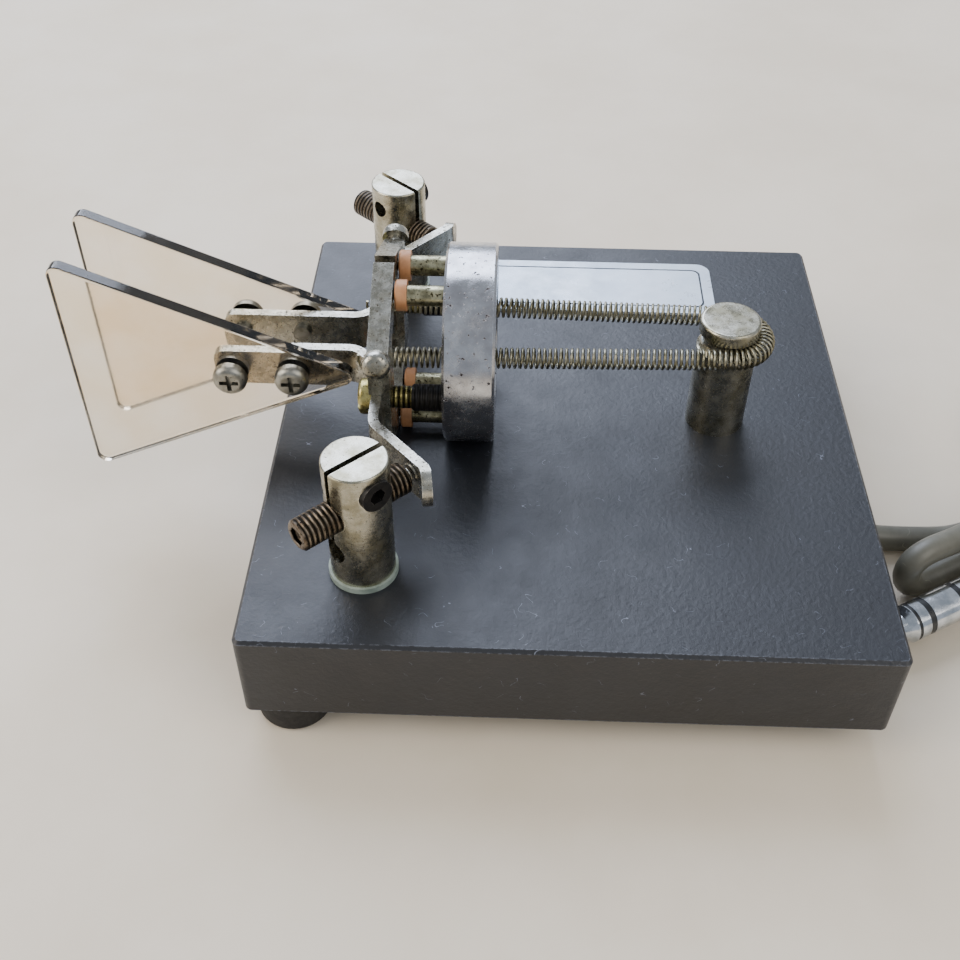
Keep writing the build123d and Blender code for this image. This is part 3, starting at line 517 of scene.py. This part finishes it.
@dataclass
class TensionSpring:
    """Close-wound spring from lever to lever round the rear post."""

    shift_mm: float = 15.4375
    height_mm: float = 39.025
    post_x_mm: float = 25.0
    wrap_mm: float = 5.65
    end_x_mm: float = -27.6
    end_y_mm: float = 7.05
    coil_mm: float = 1.475
    wire_mm: float = 0.45
    pitch_mm: float = 0.85
    steps: int = 14
    hook_x_mm: float = -33.15
    hook_top_mm: float = 39.325
    hook_low_mm: float = 37.225
    name: str = "tension_spring_coils"

    def _tangent(self) -> tuple[float, float]:
        """Point where the near straight meets its wrap round the post.

        Returns:
            X and Y in mm, before the shift.
        """
        dx = self.end_x_mm - self.post_x_mm
        away = math.hypot(dx, self.end_y_mm)
        angle = math.atan2(-self.end_y_mm, dx) + math.acos(self.wrap_mm / away)
        return self.post_x_mm + self.wrap_mm * math.cos(angle), self.wrap_mm * math.sin(angle)

    def _line(self, travel: float) -> tuple[Vector, Vector]:
        """Centreline of the wound body.

        Args:
            travel: Distance from the near end, in mm.

        Returns:
            Point and direction, in mm.
        """
        x, y = self._tangent()
        near = Vector((self.end_x_mm, -self.end_y_mm, 0.0))
        touch = Vector((x, y, 0.0))
        straight = (touch - near).length
        arc = self.wrap_mm * 2 * math.atan2(-y, x - self.post_x_mm)
        if travel < straight:
            way = (touch - near).normalized()
            return near + way * travel, way
        if travel < straight + arc:
            angle = math.atan2(y, x - self.post_x_mm) + (travel - straight) / self.wrap_mm
            out = Vector((math.cos(angle), math.sin(angle), 0.0))
            return Vector((self.post_x_mm, 0.0, 0.0)) + out * self.wrap_mm, Vector((-out.y, out.x, 0.0))
        way = Vector((near.x - touch.x, touch.y - near.y, 0.0)).normalized()
        start = Vector((touch.x, -touch.y, 0.0))
        return start + way * (travel - straight - arc), way

    def _length(self) -> float:
        """Length of the wound body.

        Returns:
            Length in mm.
        """
        x, y = self._tangent()
        straight = math.hypot(x - self.end_x_mm, y + self.end_y_mm)
        return 2 * straight + self.wrap_mm * 2 * math.atan2(-y, x - self.post_x_mm)

    def _hook(self, side: Side) -> list[Vector]:
        """Hook from a strip's hole to the first coil.

        Args:
            side: Side of the key.

        Returns:
            Points in mm, from the tip inwards.
        """
        y = side.value * self.end_y_mm
        low = self.height_mm - self.coil_mm
        return [
            Vector((self.hook_x_mm, y, self.hook_top_mm)),
            Vector((self.hook_x_mm - 0.1, y, self.hook_top_mm - 1.0)),
            Vector((self.hook_x_mm + 0.2, y, self.hook_low_mm)),
            Vector((self.hook_x_mm + 1.4, y, low - 0.1)),
            Vector((self.end_x_mm - 0.8, y, low)),
        ]

    def build(self) -> bpy.types.Object:
        """Winds the wire and stands it in for the CAD spring.

        Returns:
            The spring.
        """
        total = self._length()
        count = int(total / self.pitch_mm * self.steps)
        wound = []
        for index in range(count + 1):
            point, way = self._line(total * index / count)
            across = Vector((way.y, -way.x, 0.0))
            angle = 2 * math.pi * index / self.steps
            ring = across * math.sin(angle) + Vector((0.0, 0.0, -1.0)) * math.cos(angle)
            wound.append(point + Vector((0.0, 0.0, self.height_mm)) + ring * self.coil_mm)
        points = self._hook(Side.NEAR) + wound + self._hook(Side.FAR)[::-1]
        data = bpy.data.curves.new(self.name, "CURVE")
        data.dimensions = "3D"
        data.bevel_depth = self.wire_mm / 2 * MM
        data.bevel_resolution = 2
        data.use_fill_caps = True
        spline = data.splines.new("POLY")
        spline.points.add(len(points) - 1)
        for target, point in zip(spline.points, points):
            target.co = ((point.x + self.shift_mm) * MM, point.y * MM, point.z * MM, 1.0)
        piece = bpy.data.objects.new(self.name, data)
        bpy.context.scene.collection.objects.link(piece)
        piece.data.materials.append(SPRING_STEEL.material())
        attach(piece, Body.BASE.value)
        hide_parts("tension_spring")
        LOG.info("%s: %d points", self.name, len(points))
        return piece


@dataclass
class Cable:
    """Limp cable from the clip under the base, through its fold and hank, to the plug."""

    plug_tip_mm: Point = (63.3875, -33.4, 0.0)
    heading_deg: float = 29.6
    diameter_mm: float = 4.4
    length_m: float = 0.936
    hank_start: float = 106.0
    hank_end: float = 172.0
    hank_radius: float = 13.2
    bottom: float = 2.8
    pitch: float = 5.0
    loops: int = 3
    straight_inset: float = 14.0
    end_step_deg: float = 36.0
    name: str = "cable"
    lead: tuple[Point, ...] = (
        (-2.3, 30.2, 3.5),
        (12.48, 21.8, 3.5),
        (22.5, 16.3, 2.25),
        (33.0, 11.3, 2.25),
        (43.7, 14.1, 2.25),
        (52.3, 24.0, 2.25),
        (61.4, 35.4, 2.25),
        (71.7, 38.4, 2.25),
        (81.5, 34.2, 2.25),
        (86.4, 24.7, 2.25),
        (84.3, 14.25, 2.25),
        (76.0, 7.5, 2.25),
        (64.0, 7.2, 2.25),
        (51.0, 7.5, 2.25),
        (38.5, 7.2, 2.25),
        (27.0, 7.4, 2.25),
        (14.9, 7.2, 2.3),
        (14.7, 7.9, 9.9),
        (27.5, 7.8, 8.9),
        (41.0, 9.4, 8.2),
        (54.5, 14.0, 8.3),
        (68.0, 19.4, 9.6),
        (80.5, 23.6, 11.8),
        (92.0, 26.1, 12.8),
        (106.0, 26.4, 12.8),
    )
    tail: tuple[Point, ...] = (
        (102.0, 0.0, 2.8),
        (92.0, 0.2, 3.2),
        (82.0, 0.3, 4.1),
        (71.5, 0.0, 5.0),
        (61.5, 0.0, 5.0),
    )

    def place(self, point: Point) -> Vector:
        """Turns a point of the cable's own frame into the row frame.

        Args:
            point: Distance along the plug, to its left, and up, in mm.

        Returns:
            The point in metres.
        """
        along, left, up = point
        turn = math.radians(self.heading_deg)
        x = self.plug_tip_mm[0] + along * math.cos(turn) - left * math.sin(turn)
        y = self.plug_tip_mm[1] + along * math.sin(turn) + left * math.cos(turn)
        return Vector((x, y, up)) * MM

    def _end(self, centre: float, first: float, height: float, drop: float) -> list[Point]:
        """Five points round one end of the hank.

        Args:
            centre: Distance along the plug of the end's centre.
            first: Angle of the first point, in degrees.
            height: Height before the end.
            drop: How much lower the cable leaves it.

        Returns:
            The points.
        """
        reach = self.hank_radius / math.cos(math.radians(self.end_step_deg / 2))
        shares = (0.0, 0.0, 0.5, 1.0, 1.0)
        made = []
        for index, share in enumerate(shares):
            angle = math.radians(first - self.end_step_deg * index)
            along = centre + reach * math.cos(angle)
            left = self.hank_radius + reach * math.sin(angle)
            made.append((along, left, height - share * drop))
        return made

    def route(self) -> list[Point]:
        """Control points of the whole cable.

        Returns:
            The points, from the clip to the plug.
        """
        points = list(self.lead)
        width = 2 * self.hank_radius
        for loop in range(self.loops):
            height = self.bottom + (self.loops - 1 - loop) * self.pitch
            if loop:
                points.append((self.hank_start + self.straight_inset, width, height))
            points.append((self.hank_end - self.straight_inset, width, height))
            points += self._end(self.hank_end, 2 * self.end_step_deg, height, 0.0)
            points.append((self.hank_end - self.straight_inset, 0.0, height))
            if loop < self.loops - 1:
                points.append((self.hank_start + self.straight_inset, 0.0, height))
                points += self._end(self.hank_start, -3 * self.end_step_deg, height, self.pitch)
        return points + [(self.hank_start + self.straight_inset, 0.0, self.bottom), *self.tail]

    def build(self) -> bpy.types.Object:
        """Returns:
            The cable.
        """
        data = bpy.data.curves.new(self.name, "CURVE")
        data.dimensions = "3D"
        data.resolution_u = 10
        data.bevel_depth = self.diameter_mm / 2 * MM
        data.bevel_resolution = 6
        data.use_fill_caps = True
        spline = data.splines.new("NURBS")
        points = self.route()
        spline.points.add(len(points) - 1)
        for target, point in zip(spline.points, points):
            target.co = (*self.place(point), 1.0)
        spline.order_u = 3
        spline.use_endpoint_u = True
        piece = bpy.data.objects.new(self.name, data)
        bpy.context.scene.collection.objects.link(piece)
        piece.data.materials.append(CABLE.material())
        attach(piece, Body.BASE.value)
        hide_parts("cord_lead", "cord_hank", "cord_tail")
        LOG.info("%s: %d control points", self.name, len(points))
        return piece


@dataclass
class Studio:
    """Pale floor, soft lights and the camera."""

    camera_mm: Point = (5.81, -155.89, 157.42)
    right: Point = (0.99939, 0.0347, 0.0050)
    up: Point = (-0.0278, 0.6959, 0.7176)
    back: Point = (0.0214, -0.7173, 0.6965)
    lens_mm: float = 45.69
    sensor_mm: float = 36.0
    nearest_m: float = 0.005
    floor_m: float = 6.0
    sky: str = "#cfd6e0"
    sky_strength: float = 0.80
    aim_m: Point = (0.0, 0.0, 0.02)
    lights: tuple[tuple[str, Point, float, float, str], ...] = (
        ("window", (-0.25, 0.75, 0.75), 0.9, 17.0, "#dfe9ff"),
        ("side", (-0.85, -0.25, 0.60), 0.7, 8.0, "#fff4e6"),
        ("fill", (0.70, -0.55, 0.85), 0.8, 5.5, "#fff8ef"),
    )

    def _floor(self) -> None:
        """Lays the floor under the key."""
        bpy.ops.object.select_all(action="DESELECT")
        bpy.ops.mesh.primitive_plane_add(size=self.floor_m, location=(0.0, 0.0, 0.0))
        floor = bpy.context.object
        floor.name = "floor"
        floor.data.materials.append(FLOOR.material())

    def _light(self, name: str, at: Point, size: float, power: float, colour: str) -> None:
        """Adds one soft light that faces the key.

        Args:
            name: Light's name.
            at: Place in metres.
            size: Width of the square in metres.
            power: Watts.
            colour: Light's colour.
        """
        data = bpy.data.lights.new(name, "AREA")
        data.size = size
        data.energy = power
        data.color = linear(colour)[:3]
        lamp = bpy.data.objects.new(name, data)
        lamp.location = at
        facing = Vector(self.aim_m) - Vector(at)
        lamp.rotation_euler = facing.to_track_quat("-Z", "Y").to_euler()
        bpy.context.scene.collection.objects.link(lamp)

    def build(self) -> None:
        """Sets up floor, lights, surroundings and camera."""
        self._floor()
        for light in self.lights:
            self._light(*light)
        world = bpy.data.worlds.new("surroundings")
        world.use_nodes = True
        background = world.node_tree.nodes["Background"]
        background.inputs["Color"].default_value = linear(self.sky)
        background.inputs["Strength"].default_value = self.sky_strength
        bpy.context.scene.world = world
        data = bpy.data.cameras.new("camera")
        data.lens = self.lens_mm
        data.sensor_width = self.sensor_mm
        data.clip_start = self.nearest_m
        camera = bpy.data.objects.new("camera", data)
        turn = Matrix((self.right, self.up, self.back)).transposed().to_4x4()
        camera.matrix_world = Matrix.Translation(Vector(self.camera_mm) * MM) @ turn
        bpy.context.scene.collection.objects.link(camera)
        bpy.context.scene.camera = camera
        LOG.info("studio ready")


def both(*parts: str) -> tuple[str, ...]:
    """Names the near and far node of each part.

    Args:
        parts: Node names without their side.

    Returns:
        The node names.
    """
    return tuple(f"{side.prefix}_{part}" for side in Side for part in parts)


def cad_pieces() -> Iterable[CadPieces]:
    """Groups the CAD nodes by finish.

    Returns:
        The groups.
    """
    yield CadPieces(PAINT, ("base_plate",))
    yield CadPieces(RUBBER, ("rubber_feet",))
    zinc = ("foot_screws", "frame_screw", "post_screws", "spring_post_screw", "cable_clip_screw")
    yield CadPieces(ZINC, zinc + both("finger_screws", "finger_spacers"))
    yield CadPieces(LABEL, ("label_plate",))
    yield CadPieces(RING_STEEL, ("frame_ring",))
    yield CadPieces(PIN_NICKEL, ("bearing_pins",))
    yield CadPieces(NYLON, ("nylon_bearings",))
    yield CadPieces(STUD, ("stop_studs",))
    yield CadPieces(PITTED_PLATE, both("lever_bar", "lever_strip", "corner_screw"))
    yield CadPieces(PIN_NICKEL, both("needles"))
    yield CadPieces(STOP_BRASS, both("stop_screw"))
    yield CadPieces(ACRYLIC, both("finger_piece"))
    yield CadPieces(SILVER, both("lever_contact", "contact_tip"))
    yield CadPieces(POST_NICKEL, both("contact_post") + ("spring_post",))
    for side in Side:
        yield CadPieces(contact_finish(side), (f"{side.prefix}_contact_screw",))
    yield CadPieces(BLACK_OXIDE, ("clamp_screws",))
    yield CadPieces(INSULATOR, ("post_insulators", "post_washers", "cable_clip"))
    yield CadPieces(TINNED, ("solder_lugs",))
    yield CadPieces(WIRE, ("lead_wires",))
    yield CadPieces(STRAP, ("cord_tie",))
    yield CadPieces(PLUG_NICKEL, ("plug_tip", "plug_collar", "plug_ring", "plug_sleeve"))
    yield CadPieces(PLUG_BLACK, ("plug_insulators", "plug_handle"))


def main() -> None:
    """Builds the scene."""
    logging.basicConfig(level=logging.INFO)
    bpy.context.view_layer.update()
    Studio().build()
    for group in cad_pieces():
        group.dress()
    TensionSpring().build()
    Cable().build()


if __name__ == "__main__":
    main()
